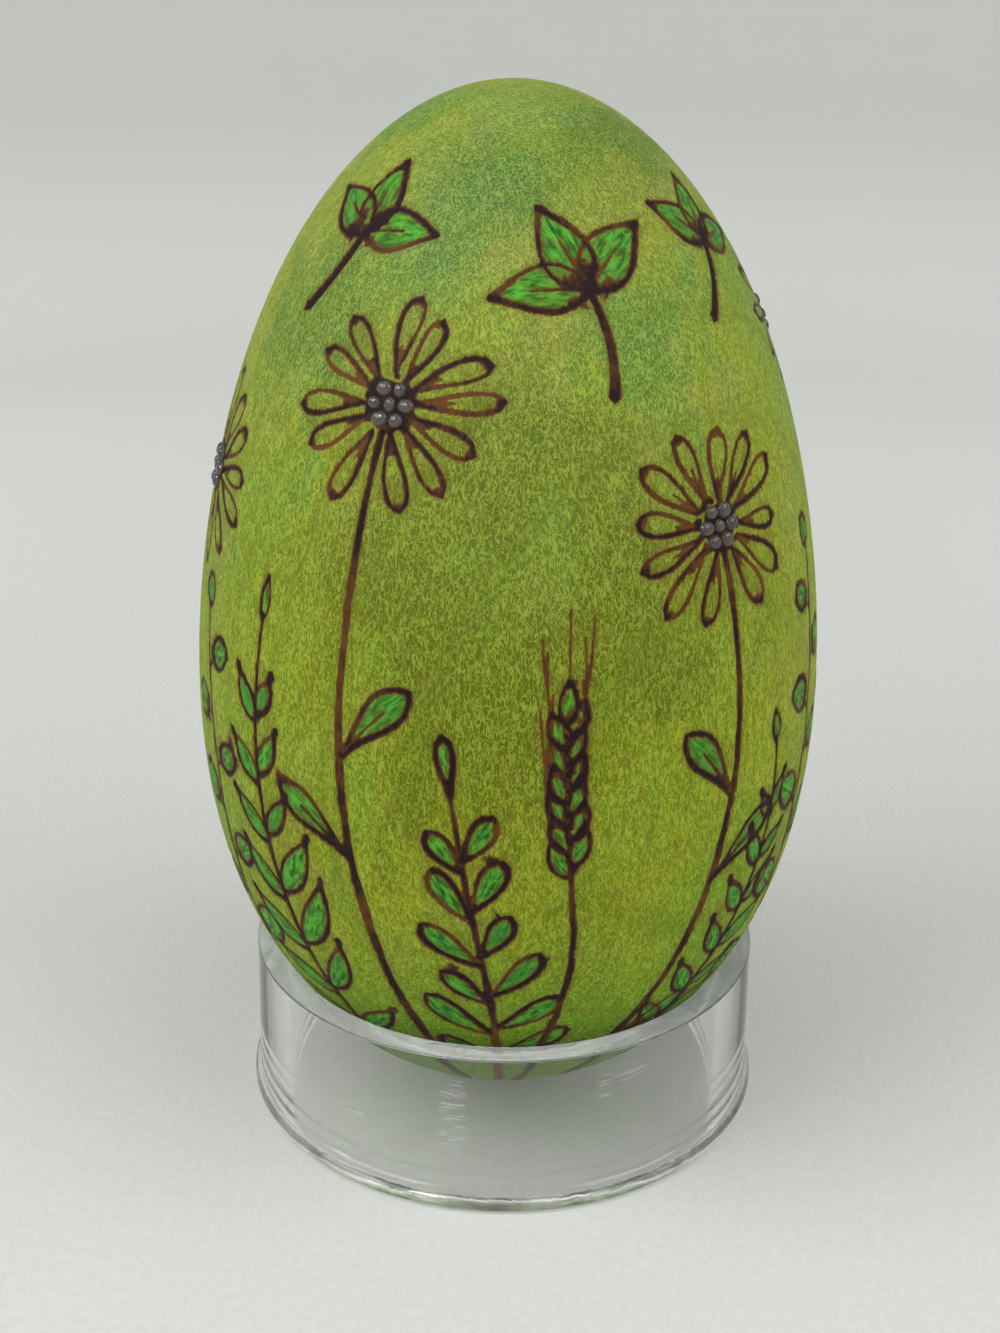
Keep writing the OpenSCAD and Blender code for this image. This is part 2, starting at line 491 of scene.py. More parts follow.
def field(points, lines, band, extras):
    """For each point, its distance to the nearest line's edge, negative inside, and that line's extras."""
    tree = KDTree(len(points))
    for i, p in enumerate(points):
        tree.insert(p, i)
    tree.balance()
    gap = np.full(len(points), band)
    found = np.zeros((len(points), extras))
    for line in lines:
        p, r = line["points"], line["radius"]
        for i in range(len(p) - 1):
            span = p[i + 1] - p[i]
            size = float(span @ span)
            reach = max(r[i], r[i + 1]) + band + 0.5 * math.sqrt(size)
            near = np.array([hit[1] for hit in tree.find_range(p[i] + span / 2, reach)], int)
            if not len(near):
                continue
            from_start = points[near] - p[i]
            u = np.clip(from_start @ span / max(size, TINY), 0, 1)
            away = from_start - u[:, None] * span
            d = np.sqrt((away**2).sum(1)) - (r[i] + u * (r[i + 1] - r[i]))
            better = d < gap[near]
            chosen, u, away = near[better], u[better], away[better]
            gap[chosen] = d[better]
            if "dark" in line:
                found[chosen, 0] = line["dark"][i] + u * (line["dark"][i + 1] - line["dark"][i])
                found[chosen, 1] = line["deep"]
            else:
                found[chosen, 0] = away @ line["side"][i]
                found[chosen, 1] = line["along"][i] + u * (line["along"][i + 1] - line["along"][i])
                found[chosen, 2] = line["tone"]
    return gap, found


# The egg's mesh: a flat map of the egg that keeps angles, cut into triangles along the burnt lines
CAP_R = 1.2
CAP_CORNERS = 12
PLAIN_STEP = 1.3
ROW_SHARE = 0.87
LINE_MARGIN = 0.09
WIDE_LINE = 0.34
CLEAR_OF_LINES = 0.42
CLEAR_OF_FILLS = 0.15
STRAND_PLAY = 0.045
STRAND_BAND = 0.5
SAME_PLACE = 1e-4
SEAM = HALF_TURN
SEAM_OVERLAP = 0.3
SEAM_CLEAR = 0.6

_mapped = R_TABLE > CAP_R
MAP_T = T_TABLE[_mapped]
_growth = (STRIDE_TABLE / np.maximum(R_TABLE, CAP_R / 2))[_mapped]
MAP_UP = np.r_[0, np.cumsum((_growth[1:] + _growth[:-1]) / 2 * np.diff(MAP_T))]


def to_map(t, az):
    return np.stack([az, np.interp(t, MAP_T, MAP_UP)], -1)


def line_strands(line):
    """The strands that a burnt line is meshed along.

    Each has its rows of (t, azimuth), the gap that is expected there, and whether it is closed.
    """
    rows, r = line["rows"], line["radius"]
    yield rows[:, :2], -r, False
    if r.mean() > WIDE_LINE:
        for side in (-0.5, 0.5):
            yield beside(rows, side * r)[:, :2], -0.5 * r, False
    out = r + LINE_MARGIN
    first, last = moved(rows[:1], 0, -out[0]), moved(rows[-1:], 0, out[-1])
    loop = np.concatenate([first, beside(rows, out), last, beside(rows, -out)[::-1]])
    yield loop[:, :2], np.full(len(loop), LINE_MARGIN), True


def strand_pieces():
    """Each strand's points on the map and the pairs that are joined, without those inside other lines."""
    strands = [strand for line in burns for strand in line_strands(line)]
    strands += [(fill["rows"][:, :2], None, False) for fill in fills]
    places = np.concatenate([strand[0] for strand in strands])
    gap, _ = field(on_egg(places), burns, STRAND_BAND, 2)
    first = 0
    for rows, expected, closed in strands:
        here = gap[first:first + len(rows)]
        first += len(rows)
        kept = here > CLEAR_OF_FILLS if expected is None else np.abs(here - expected) < STRAND_PLAY
        number = np.cumsum(kept) - 1
        a = np.arange(len(rows) if closed else len(rows) - 1)
        b = (a + 1) % len(rows)
        both = kept[a] & kept[b]
        pairs = np.stack([number[a[both]], number[b[both]]], -1)
        if expected is None:
            pairs = pairs[:0]
        flat = to_map(rows[kept, 0], rows[kept, 1])
        if not len(flat):
            continue
        flat[:, 0] -= TURN * np.round(flat[:, 0].mean() / TURN)
        yield flat, pairs
        if np.abs(flat[:, 0]).max() > SEAM - SEAM_OVERLAP:
            yield flat - (math.copysign(TURN, flat[:, 0].mean()), 0), pairs


def plain_pieces():
    """Rows of points further apart where nothing is drawn, and the four edges of the map."""
    steps = np.hypot(np.diff(on_table(MAP_T, R_TABLE)), np.diff(on_table(MAP_T, Z_TABLE)))
    along = np.r_[0, np.cumsum(steps)]
    count = int(along[-1] / (ROW_SHARE * PLAIN_STEP)) + 1
    levels = np.interp(np.linspace(0, along[-1], count), along, MAP_T)
    plain = []
    for i, t in enumerate(levels[1:-1]):
        around = max(CAP_CORNERS, int(TURN * on_table(t, R_TABLE) / PLAIN_STEP))
        az = -SEAM + TURN * (np.arange(around) + 0.5 * (i % 2)) / around
        az = az[np.abs(np.abs(az) - SEAM) > SEAM_CLEAR * HALF_TURN / around]
        plain.append(np.stack([np.full(len(az), t), az], -1))
    plain = np.concatenate(plain)
    away, _ = field(on_egg(plain), burns, CLEAR_OF_LINES * 2, 2)
    plain = plain[away > CLEAR_OF_LINES]
    yield to_map(plain[:, 0], plain[:, 1]), np.zeros((0, 2), int)
    chain = np.arange(len(levels) - 1)
    for az in (-SEAM, SEAM):
        yield to_map(levels, np.full(len(levels), az)), np.stack([chain, chain + 1], -1)
    chain = np.arange(CAP_CORNERS)
    for t in (MAP_T[0], MAP_T[-1]):
        az = np.linspace(-SEAM, SEAM, CAP_CORNERS + 1)
        yield to_map(np.full(len(az), t), az), np.stack([chain, chain + 1], -1)


def map_mesh():
    """The egg's points, without the caps at its tips, its triangles, and the points on the map."""
    points, edges, count = [], [], 0
    for pieces in (strand_pieces(), plain_pieces()):
        for flat, pairs in pieces:
            points.append(flat)
            edges.append(pairs + count)
            count += len(flat)
    flat, _, faces, *_ = delaunay_2d_cdt(
        np.concatenate(points).tolist(), np.concatenate(edges).tolist(), [], 0, SAME_PLACE, False)
    flat = np.array([p[:] for p in flat])
    faces = np.array(faces)
    middle = flat[faces].mean(axis=1)
    faces = faces[(np.abs(middle[:, 0]) < SEAM) & (middle[:, 1] > 0) & (middle[:, 1] < MAP_UP[-1])]
    used, faces = np.unique(faces, return_inverse=True)
    flat, faces = flat[used], faces.reshape(-1, 3)
    return surface(np.interp(flat[:, 1], MAP_UP, MAP_T), flat[:, 0]), faces, flat


CUBE_SIDES = (
    ((1, 0, 0), (0, 1, 0), (0, 0, 1)), ((-1, 0, 0), (0, -1, 0), (0, 0, 1)),
    ((0, 1, 0), (-1, 0, 0), (0, 0, 1)), ((0, -1, 0), (1, 0, 0), (0, 0, 1)),
    ((0, 0, 1), (1, 0, 0), (0, 1, 0)), ((0, 0, -1), (-1, 0, 0), (0, 1, 0)),
)
SQUARES_ACROSS, SQUARES_UP = 3, 2
SQUARE_MARGIN = 0.04


def wrap_in_squares(mesh, points):
    """The map for baking: six squares, one for each side of a cube round the egg."""
    directions = (points - (0, 0, EGG_BASE + EGG_LENGTH / 2)) / (EGG_WIDTH, EGG_WIDTH, EGG_LENGTH)
    loops = np.zeros(len(mesh.loops), int)
    mesh.loops.foreach_get("vertex_index", loops)
    counts = np.zeros(len(mesh.polygons), int)
    mesh.polygons.foreach_get("loop_total", counts)
    owner = np.repeat(np.arange(len(counts)), counts)
    middle = np.stack([np.bincount(owner, directions[loops, k]) for k in range(3)], -1)
    sides = np.array(CUBE_SIDES, float)
    which = np.argmax(middle @ sides[:, 0].T, axis=1)[owner]
    main, right, up = sides[which, 0], sides[which, 1], sides[which, 2]
    d = directions[loops]
    ahead = (d * main).sum(1)
    u = np.arctan2((d * right).sum(1), ahead) / QUARTER_TURN + 0.5
    v = np.arctan2((d * up).sum(1), ahead) / QUARTER_TURN + 0.5
    u = (which % SQUARES_ACROSS + SQUARE_MARGIN + (1 - 2 * SQUARE_MARGIN) * u) / SQUARES_ACROSS
    v = (which // SQUARES_ACROSS + SQUARE_MARGIN + (1 - 2 * SQUARE_MARGIN) * v) / SQUARES_UP
    layer = mesh.uv_layers.new(name="OFBake")
    layer.data.foreach_set("uv", np.stack([u, v], -1).astype(np.float32).reshape(-1))


def add_piece(name, mesh):
    piece = bpy.data.objects.new(name, mesh)
    bpy.context.scene.collection.objects.link(piece)
    return piece


def face_outward(mesh, join_dist=0.0):
    """Turns a mesh's faces outward, and joins points closer than join_dist."""
    bm = bmesh.new()
    bm.from_mesh(mesh)
    if join_dist:
        bmesh.ops.remove_doubles(bm, verts=bm.verts, dist=join_dist)
    bmesh.ops.recalc_face_normals(bm, faces=bm.faces)
    bm.to_mesh(mesh)
    bm.free()


def outward_mesh(name, points, faces):
    """A mesh from points in mm, with its faces turned outward."""
    mesh = bpy.data.meshes.new(name)
    mesh.from_pydata((np.array(points) * MM).tolist(), [], faces)
    face_outward(mesh)
    return mesh


def fan_faces(rows, turns):
    """The faces of a fan round a first point, and of the bands between the rows of points after it."""
    faces = [(0, 1 + k, 1 + (k + 1) % turns) for k in range(turns)]
    for i in range(rows - 1):
        for k in range(turns):
            a, b = 1 + i * turns + k, 1 + i * turns + (k + 1) % turns
            faces.append((a, a + turns, b + turns, b))
    return faces


GROOVE_DEPTH = 0.16
GROOVE_WALL = 0.26
PALE_DEPTH, DARK_DEPTH = 0.4, 0.6
JOIN_DIST = 0.004


def closed_egg():
    """The egg's mesh with its two tips closed, before the grooves are cut."""
    points, faces, flat = map_mesh()
    faces = faces.tolist()
    tips = []
    for v, z in ((0, EGG_BASE), (MAP_UP[-1], EGG_BASE + EGG_LENGTH)):
        rim = np.flatnonzero(np.abs(flat[:, 1] - v) < SAME_PLACE)
        rim = rim[np.argsort(flat[rim, 0])].tolist()
        faces += [(len(points) + len(tips), a, b) for a, b in zip(rim, rim[1:])]
        tips.append((0, 0, z))
    mesh = bpy.data.meshes.new("turned_egg")
    mesh.from_pydata(np.concatenate([points, tips]).tolist(), [], faces)
    face_outward(mesh, JOIN_DIST)
    return mesh


def make_egg():
    mesh = closed_egg()
    points = np.zeros(len(mesh.vertices) * 3)
    mesh.vertices.foreach_get("co", points)
    points = points.reshape(-1, 3)
    t = np.arccos(np.clip(1 - 2 * (points[:, 2] - EGG_BASE) / EGG_LENGTH, -1, 1))
    az = np.arctan2(points[:, 0], -points[:, 1])
    gap, ink = field(points, burns, BAND, 2)
    fill_gap, place = field(points, fills, FILL_BAND, 3)
    inside = smoothstep(-gap, -LINE_MARGIN, GROOVE_WALL)
    depth = GROOVE_DEPTH * inside * (PALE_DEPTH + DARK_DEPTH * ink[:, 0]) * ink[:, 1]
    grooved = (points - outward(t, az) * depth[:, None]) * MM
    mesh.vertices.foreach_set("co", grooved.astype(np.float32).reshape(-1))
    mesh.update()

    for name, values in (("line_gap", gap), ("line_dark", ink[:, 0]), ("fill_gap", fill_gap)):
        layer = mesh.attributes.new(name, "FLOAT", "POINT")
        layer.data.foreach_set("value", values.astype(np.float32))
    layer = mesh.attributes.new("fill_place", "FLOAT_VECTOR", "POINT")
    layer.data.foreach_set("vector", place.astype(np.float32).reshape(-1))
    wrap_in_squares(mesh, points)
    mesh.shade_smooth()
    return add_piece("turned_egg", mesh)


egg = make_egg()
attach(egg, "egg")
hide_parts("egg")


# The clear ring, by the same sizes as the solid
_, _ring_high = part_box("ring_stand")
RING_H = _ring_high.z / MM
FOOT_R = _ring_high.x / MM
RIM_R = 25.5
BORE_R = 22.8
WALL_FOOT_R = 25.75
FOOT_ROUND = 0.8
LIP_ROUND = 0.5
RIM_ROUND = 0.15
RING_TURNS = 320
CLOSE_SHARE = 0.003
FOOT_STEPS, EDGE_STEPS, LIP_STEPS = 15, 6, 8
WALL_STEPS, RIM_STEPS, BASE_STEPS = 24, 4, 3
RIM_DEPTH = 0.01
SHARP_CORNER = rad(32)
RIM_MATERIAL, FOOT_MATERIAL = 1, 2


def arc(centre, r, start, end, count):
    angles = np.radians(np.linspace(start, end, count))
    return np.stack([centre[0] + r * np.cos(angles), centre[1] + r * np.sin(angles)], -1)


def straight(a, b, count):
    """Points between two ends, with two close to the ends so that the shading stays flat between them."""
    s = np.r_[CLOSE_SHARE, np.linspace(0, 1, count + 2)[1:-1], 1 - CLOSE_SHARE][:, None]
    return np.array(a) * (1 - s) + np.array(b) * s


def lathe(name, profile, turns):
    """A closed ring-shaped mesh from a closed profile of (radius, height)."""
    profile = np.asarray(profile)
    n = len(profile)
    angles = np.linspace(0, TURN, turns, endpoint=False)
    points = np.stack([
        profile[None, :, 0] * np.sin(angles)[:, None],
        -profile[None, :, 0] * np.cos(angles)[:, None],
        np.broadcast_to(profile[None, :, 1], (turns, n)),
    ], -1).reshape(-1, 3)
    faces = []
    for i in range(turns):
        j = (i + 1) % turns
        for k in range(n):
            m = (k + 1) % n
            faces.append((i * n + k, j * n + k, j * n + m, i * n + m))
    return outward_mesh(name, points, faces)


def make_ring():
    foot_centre = (FOOT_R - FOOT_ROUND, FOOT_ROUND)
    foot_end = math.degrees(math.acos((WALL_FOOT_R - foot_centre[0]) / FOOT_ROUND))
    foot = arc(foot_centre, FOOT_ROUND, -90, foot_end, FOOT_STEPS)
    rim = arc((RIM_R - RIM_ROUND, RING_H - RIM_ROUND), RIM_ROUND, 0, 90, EDGE_STEPS)
    lip = arc((BORE_R + LIP_ROUND, RING_H - LIP_ROUND), LIP_ROUND, 90, 180, LIP_STEPS)
    heel = arc((BORE_R + RIM_ROUND, RIM_ROUND), RIM_ROUND, 180, 270, EDGE_STEPS)
    profile = np.concatenate([
        foot, straight(foot[-1], rim[0], WALL_STEPS), rim, straight(rim[-1], lip[0], RIM_STEPS),
        lip, straight(lip[-1], heel[0], WALL_STEPS), heel, straight(heel[-1], foot[0], BASE_STEPS),
    ])
    mesh = lathe("clear_ring", profile, RING_TURNS)
    for face in mesh.polygons:
        r = math.hypot(face.center.x, face.center.y) / MM
        z = face.center.z / MM
        if z > RING_H - RIM_DEPTH:
            face.material_index = RIM_MATERIAL
        elif z < FOOT_ROUND * 2 and r > BORE_R + LIP_ROUND:
            face.material_index = FOOT_MATERIAL
    mesh.shade_smooth()
    mesh.set_sharp_from_angle(angle=SHARP_CORNER)
    return add_piece("clear_ring", mesh)


ring = make_ring()
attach(ring, "stand")
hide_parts("ring_stand")


# The gloss dots
DOT_D = 1.25
DOT_H = 0.5
DOT_PITCH = 1.45
DOT_LIFT = 0.01
DOT_RINGS = 9
DOT_TURNS = 28
DOTS_EACH = 7
DOT_ANGLE = 60
DOT_SEED = 40

# How uneven the drops are in outline, in where the top leans and in size, and how full they are
DOT_SQUASH, DOT_LEAN, DOT_WAVE = 0.07, 0.05, 0.05
DOT_VARIES, WIDEST_DOT, TALLEST_DOT = 0.1, 1.1, 1.0
DOT_SHOULDER, DOT_CROWN = 0.9, 0.85
SHARP_DOT_EDGE = rad(60)


def dome(centre, normal, radius, height, rng):
    """The points and faces of one flattened drop, closed underneath."""
    side, up = square_to(normal)
    points = [centre + normal * (DOT_LIFT + height)]
    squash = rng.normal(1, DOT_SQUASH)
    lean = rng.normal(size=2) * DOT_LEAN * radius
    wave = rng.uniform(0, TURN)
    for i in range(1, DOT_RINGS + 1):
        s = i / DOT_RINGS
        out = radius * math.sin(s * QUARTER_TURN) ** DOT_SHOULDER
        rise = DOT_LIFT
        if i < DOT_RINGS:
            rise += height * math.cos(s * QUARTER_TURN) ** DOT_CROWN
        for k in range(DOT_TURNS):
            a = TURN * k / DOT_TURNS
            r = out * (1 + DOT_WAVE * math.sin(2 * a + wave) * s)
            x = r * math.cos(a) * squash + lean[0] * (1 - s)
            y = r * math.sin(a) / squash + lean[1] * (1 - s)
            points.append(centre + side * x + up * y + normal * rise)
    faces = fan_faces(DOT_RINGS, DOT_TURNS)
    last = 1 + (DOT_RINGS - 1) * DOT_TURNS
    faces.append(tuple(last + k for k in reversed(range(DOT_TURNS))))
    return points, faces


def make_dots(index):
    rng = np.random.default_rng(DOT_SEED + index)
    t0, az0 = spot(*FLOWERS[index])
    points, faces = [], []
    for i in range(DOTS_EACH):
        pitch = DOT_PITCH if i else 0
        angle = rad(DOT_ANGLE * i)
        t = t0 + pitch * math.sin(angle) / on_table(t0, STRIDE_TABLE)
        az = az0 + pitch * math.cos(angle) / on_table(t0, R_TABLE)
        size = rng.normal(1, DOT_VARIES)
        new_points, new_faces = dome(surface(t, az), outward(t, az), DOT_D / 2 * min(size, WIDEST_DOT),
                                     DOT_H * min(size, TALLEST_DOT), rng)
        first = len(points)
        points += new_points
        faces += [tuple(first + k for k in face) for face in new_faces]
    name = f"gloss_dots_{index + 1}"
    mesh = outward_mesh(name, points, faces)
    for face in mesh.polygons:
        face.material_index = int(len(face.vertices) == DOT_TURNS)
    mesh.shade_smooth()
    mesh.set_sharp_from_angle(angle=SHARP_DOT_EDGE)
    piece = add_piece(name, mesh)
    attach(piece, "egg")
    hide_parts(f"flower_{index + 1}_beads")
    return piece


dots = [make_dots(i) for i in range(len(FLOWERS))]


# Materials
def srgb(r, g, b):
    """A linear colour from its usual 0 to 255 values."""
    def linear(c):
        c /= 255
        return c / 12.92 if c <= 0.04045 else ((c + 0.055) / 1.055) ** 2.4
    return (linear(r), linear(g), linear(b), 1.0)


# The sockets of a Mix node that are for colours
MIX_A, MIX_B, MIX_RESULT = 6, 7, 2


class Shade:
    """Short words for building a material's nodes."""

    def __init__(self, name):
        self.material = bpy.data.materials.new(name)
        self.material.use_nodes = True
        self.tree = self.material.node_tree
        self.tree.nodes.clear()
        self.output = self.tree.nodes.new("ShaderNodeOutputMaterial")

    def put(self, socket, value):
        if isinstance(value, bpy.types.NodeSocket):
            self.tree.links.new(value, socket)
        else:
            socket.default_value = value

    def node(self, kind, settings=(), **inputs):
        node = self.tree.nodes.new("ShaderNode" + kind)
        for key, value in dict(settings).items():
            setattr(node, key, value)
        for key, value in inputs.items():
            self.put(node.inputs[key.replace("_", " ")], value)
        return node

    def work_out(self, kind, operation, values):
        node = self.node(kind, {"operation": operation})
        for socket, value in zip(node.inputs, values):
            self.put(socket, value)
        return node.outputs["Value"]

    def math(self, operation, *values):
        return self.work_out("Math", operation, values)

    def apart(self, value, middle):
        return self.math("ABSOLUTE", self.math("SUBTRACT", value, middle))

    def ramp(self, value, low, high, start=0.0, end=1.0):
        """start where value is at low, end at high, and an eased change between."""
        node = self.node("MapRange", {"interpolation_type": "SMOOTHSTEP"}, Value=value,
                         From_Min=low, From_Max=high, To_Min=start, To_Max=end)
        return node.outputs[0]

    def mix(self, factor, a, b):
        node = self.node("Mix", {"data_type": "RGBA"}, Factor=factor)
        self.put(node.inputs[MIX_A], a)
        self.put(node.inputs[MIX_B], b)
        return node.outputs[MIX_RESULT]

    def attribute(self, name, output="Fac"):
        return self.node("Attribute", {"attribute_name": name}).outputs[output]

    def place(self, scale=(1, 1, 1), shift=(0, 0, 0)):
        """The point in the piece's own frame, in mm, times scale."""
        where = self.node("TexCoord").outputs["Object"]
        scale = [s / MM for s in scale]
        return self.node("Mapping", Vector=where, Scale=scale, Location=shift).outputs[0]

    def split(self, vector):
        return self.node("SeparateXYZ", Vector=vector).outputs

    def noise(self, vector, scale=1.0, detail=2.0, rough=0.5, warp=0.0):
        return self.node("TexNoise", Vector=vector, Scale=scale, Detail=detail, Roughness=rough,
                         Distortion=warp).outputs["Fac"]

    def bump(self, height, strength, distance):
        return self.node("Bump", Strength=strength, Distance=distance * MM, Height=height).outputs[0]

    def let_light_through(self, shader, share):
        """Lets a share of the lamps' light through each face of a clear piece."""
        open_way = self.node("BsdfTransparent", Color=(share, share, share, 1))
        both = self.node("MixShader", Fac=self.node("LightPath").outputs["Is Shadow Ray"])
        self.put(both.inputs[1], shader.outputs[0])
        self.put(both.inputs[2], open_way.outputs[0])
        return both

    def finish(self, shader):
        self.tree.links.new(shader.outputs[0], self.output.inputs["Surface"])
        return self.material


# Colours of the stained, burnt and pencilled wood, and of a painted sheen over the egg's top
STAIN_WARM, STAIN_COOL = srgb(141, 152, 22), srgb(122, 144, 28)
STAIN_GREEN, STAIN_TAN = srgb(74, 130, 50), srgb(156, 150, 70)
# The first of these is painted sheen: a whitish haze laid over the egg's top.
TOP_PAINTED_SHEEN, LOW_GREEN, LOWEST_GREEN = srgb(128, 146, 116), srgb(84, 140, 4), srgb(54, 116, 6)
THREAD_GROUND, THREAD = srgb(72, 92, 10), srgb(172, 187, 70)
PORE, GROWTH_RING = srgb(112, 96, 34), srgb(96, 112, 26)
PENCIL_DEEP, PENCIL_LIGHT, PENCIL_COOL = srgb(14, 84, 28), srgb(84, 166, 50), srgb(44, 122, 52)
SCORCH, BURNT_BROWN, BURNT_BLACK = srgb(100, 84, 26), srgb(98, 62, 26), srgb(36, 22, 24)

# The larger blotches of the stain, and one patch of painted shade: height share, azimuth, how wide in mm,
# how strong, and colour
STAIN_AND_SHADE_PATCHES = (
    # Painted shade: a wide dark olive patch over the middle of the egg's front.
    (0.60, 0, 21.0, 0.85, (86, 98, 6)),
    (0.93, -8, 7.0, 0.9, (34, 106, 50)),
    (0.88, -20, 6.0, 0.8, (52, 116, 62)),
    (0.955, 48, 8.0, 0.9, (30, 94, 26)),
    (0.90, 36, 6.0, 0.6, (150, 148, 40)),
    (0.93, -46, 6.0, 0.35, (148, 152, 62)),
    (0.86, 72, 6.0, 0.5, (84, 138, 24)),
    (0.81, -48, 8.0, 0.85, (66, 112, 44)),
    (0.78, 84, 8.0, 0.5, (74, 140, 50)),
    (0.28, 46, 10.0, 0.7, (92, 146, 16)),
    (0.30, -74, 11.0, 0.55, (92, 146, 48)),
    (0.985, 0, 5.0, 0.5, (100, 140, 84)),
    (0.84, 10, 6.0, 0.5, (144, 142, 66)),
    (0.88, 150, 10.0, 0.6, (72, 136, 50)),
    (0.50, 190, 12.0, 0.45, (96, 142, 48)),
    (0.92, 240, 8.0, 0.6, (76, 138, 54)),
)
PATCH_UNEVEN, PATCH_OUTER, PATCH_INNER = 2.5, 1.3, 0.3
GRAIN = (1.0, 1.0, 0.34)
BLOTCH_GRAIN = (1.0, 1.0, 0.7)

# Heights between which the colour changes, the top's painted sheen among them, and distances from a line's
# or a fill's edge, all in mm
UPPER_PART, PAINTED_SHEEN_HEIGHTS = (50.0, 94.0), (46.0, 92.0)
GREEN_FOOT, DARK_FOOT = (30.0, 18.0), (21.5, 18.0)
BELLY_HEIGHT, BELLY_REACH = 42.0, (34.0, 8.0)
LINE_EDGE, CHAR_EDGE, SCORCH_EDGE, FILL_EDGE = (0.05, -0.06), (0.02, -0.24), (0.4, 0.0), (0.06, -0.1)
LINE_RAGGED = 0.36


def stain_and_painted_light(m, even, height):
    """Yellow green, with soft greener and browner blotches that are strongest near the top. Over the top
    lies a whitish haze of painted sheen, one wide patch on the front is painted shade, and the colour turns
    greener and then darker towards the bottom.
    """
    upper = m.ramp(height, *UPPER_PART, start=0.3)
    blotch = m.noise(even, scale=0.06, rough=0.55, warp=0.4)
    colour = m.mix(m.ramp(blotch, 0.35, 0.65), STAIN_WARM, STAIN_COOL)
    green = m.noise(m.place(BLOTCH_GRAIN, (31, 7, 3)), scale=0.12, warp=0.8)
    colour = m.mix(m.math("MULTIPLY", m.ramp(green, 0.5, 0.68), upper), colour, STAIN_GREEN)
    tan = m.noise(m.place(BLOTCH_GRAIN, (90, 40, 10)), scale=0.15, warp=0.5)
    colour = m.mix(m.math("MULTIPLY", m.ramp(tan, 0.53, 0.7, end=0.8), upper), colour, STAIN_TAN)
    # Blotches of stain, and the painted shade on the front.
    for share, az, radius, strength, tint in STAIN_AND_SHADE_PATCHES:
        away = m.work_out("VectorMath", "DISTANCE", (even, surface(*spot(share, az))))
        uneven = m.math("MULTIPLY_ADD", m.math("SUBTRACT", green, 0.5), radius * PATCH_UNEVEN, away)
        cover = m.ramp(uneven, radius * PATCH_OUTER, radius * PATCH_INNER, end=strength)
        colour = m.mix(cover, colour, srgb(*tint))
    # Painted sheen: a whitish haze that grows towards the top of the egg.
    colour = m.mix(m.ramp(height, *PAINTED_SHEEN_HEIGHTS, end=0.16), colour, TOP_PAINTED_SHEEN)
    # Greener towards the bottom, and darker still at the very bottom.
    colour = m.mix(m.ramp(height, *GREEN_FOOT, end=0.9), colour, LOW_GREEN)
    return m.mix(m.ramp(height, *DARK_FOOT, end=0.6), colour, LOWEST_GREEN)


def threads(m, scale, width, shift):
    """Thin winding lines that run with the grain."""
    wander = m.noise(m.place(GRAIN, shift), scale=scale, detail=1.0, warp=0.7)
    return m.ramp(m.apart(wander, 0.5), width, 0.0)


def grained(m, colour, fleck, height):
    """Fine pale threads over a darker ground, brown pores, and faint growth rings."""
    colour = m.mix(m.ramp(fleck, 0.7, 0.0, end=0.46), colour, THREAD_GROUND)
    colour = m.mix(m.math("MULTIPLY", fleck, 0.5), colour, THREAD)
    pore = m.noise(m.place((1, 1, 0.2), (5, 5, 5)), scale=2.0, rough=0.6, warp=0.5)
    belly = m.ramp(m.apart(height, BELLY_HEIGHT), *BELLY_REACH, start=0.25, end=0.6)
    colour = m.mix(m.math("MULTIPLY", m.ramp(pore, 0.55, 0.72), belly), colour, PORE)
    rings = m.node("TexWave", {"wave_type": "RINGS", "rings_direction": "Z", "wave_profile": "SIN"},
                   Vector=m.place((1, 1, 0.06), (13, -17, 0)), Scale=0.085, Distortion=1.6,
                   Detail=2.0, Detail_Scale=0.4).outputs["Fac"]
    return m.mix(m.ramp(rings, 0.86, 1.0, end=0.22), colour, GROWTH_RING)


def pencilled(m, colour, grain):
    """Pencil fills with streaks along each leaf."""
    across, along, tone = m.split(m.attribute("fill_place", "Vector"))
    streak_at = m.node("CombineXYZ", X=m.math("MULTIPLY", across, 2.6),
                       Y=m.math("MULTIPLY", along, 0.8), Z=m.math("MULTIPLY", tone, 20.0)).outputs[0]
    streak = m.noise(streak_at, detail=3.0, rough=0.6, warp=0.3)
    fill = m.mix(m.ramp(streak, 0.36, 0.64), PENCIL_DEEP, PENCIL_LIGHT)
    fill = m.mix(m.ramp(tone, 0.55, 1.0, end=0.45), fill, PENCIL_COOL)
    worn = m.ramp(m.noise(grain, scale=2.6, rough=0.6), 0.26, 0.42, start=0.4, end=0.94)
    cover = m.math("MULTIPLY", m.ramp(m.attribute("fill_gap"), *FILL_EDGE), worn)
    return m.mix(cover, colour, fill)


def burnt(m, colour, grain):
    """Burnt lines with ragged edges and a faint scorched border."""
    ragged = m.math("SUBTRACT", m.noise(grain, scale=2.6, rough=0.6, warp=0.3), 0.5)
    gap = m.math("MULTIPLY_ADD", ragged, LINE_RAGGED, m.attribute("line_gap"))
    dark = m.attribute("line_dark")
    scorch = m.math("MULTIPLY", m.ramp(gap, *SCORCH_EDGE), m.math("MULTIPLY", dark, 0.4))
    colour = m.mix(scorch, colour, SCORCH)
    uneven = m.math("SUBTRACT", m.noise(grain, scale=3.4, rough=0.6), 0.5)
    speckle = m.math("MULTIPLY_ADD", uneven, 0.7, dark)
    char = m.math("MULTIPLY", m.ramp(gap, *CHAR_EDGE), m.ramp(speckle, 0.25, 0.85))
    return m.mix(m.ramp(gap, *LINE_EDGE), colour, m.mix(char, BURNT_BROWN, BURNT_BLACK))


